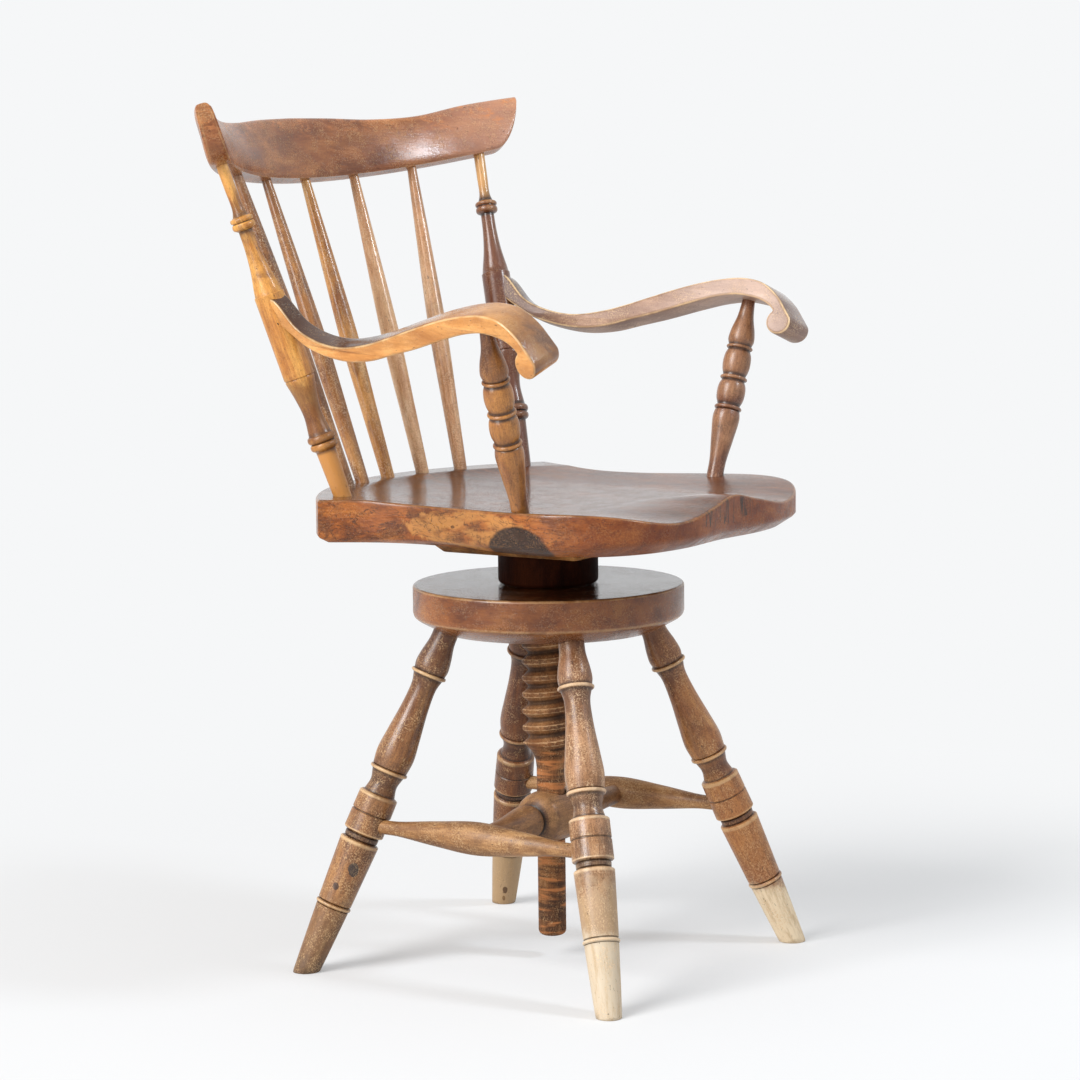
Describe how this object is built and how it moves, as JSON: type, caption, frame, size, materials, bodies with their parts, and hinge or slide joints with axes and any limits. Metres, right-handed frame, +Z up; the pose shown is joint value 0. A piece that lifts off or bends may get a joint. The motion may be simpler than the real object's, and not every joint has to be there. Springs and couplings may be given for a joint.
{
  "type": "bankers swivel chair",
  "caption": "Wooden armchair with a bent crest over spindles, whose dished seat turns and climbs on a wooden screw above splayed turned legs.",
  "frame": {"origin": "on the floor, under the axis of the wooden screw", "axes": "+Z up along the screw; the sitter faces -Y; the sitter's left hand is towards +X"},
  "size_m": [0.5874, 0.5764, 0.922],
  "materials": {
    "honey_wood": "worn satin varnish, honey to mid brown",
    "brown_wood": "worn satin varnish, brown",
    "red_brown_wood": "polished, reddish brown",
    "dark_wood": "nearly black with age",
    "worn_wood": "dull, bleached to cream towards the feet",
    "iron": "dull dark iron"
  },
  "bodies": {
    "base": {"base_disc": "red_brown_wood", "leg_front_right": "worn_wood", "leg_rear_right": "worn_wood", "leg_front_left": "worn_wood", "leg_rear_left": "worn_wood", "side_stretcher_right": "worn_wood", "side_stretcher_left": "worn_wood", "cross_stretcher": "worn_wood"},
    "collar": {"collar": "dark_wood"},
    "seat": {"screw": "brown_wood", "seat_cleat": "brown_wood", "cleat_screw_front_right": "iron", "cleat_screw_rear_right": "iron", "cleat_screw_front_left": "iron", "cleat_screw_rear_left": "iron", "seat": "brown_wood", "back_post_right": "honey_wood", "back_post_left": "honey_wood", "spindle_1": "honey_wood", "spindle_2": "honey_wood", "spindle_3": "honey_wood", "spindle_4": "honey_wood", "spindle_5": "honey_wood", "crest_rail": "red_brown_wood", "arm_right": "honey_wood", "arm_left": "honey_wood", "arm_pin_right": "iron", "arm_pin_left": "iron", "arm_support_right": "honey_wood", "arm_support_left": "honey_wood"}
  },
  "joints": [
    {"name": "lift", "type": "slide", "parent": "base", "child": "collar", "axis": [0, 0, 1], "range_m": [0, 0.0721]},
    {"name": "swivel", "type": "hinge", "parent": "collar", "child": "seat", "pos_m": [0, 0, 0.466], "axis": [0, 0, 1], "range_deg": [0, 1440]}
  ],
  "couplings": [
    {"joint": "lift", "follows": "swivel", "m_per_rad": 0.0028648}
  ]
}
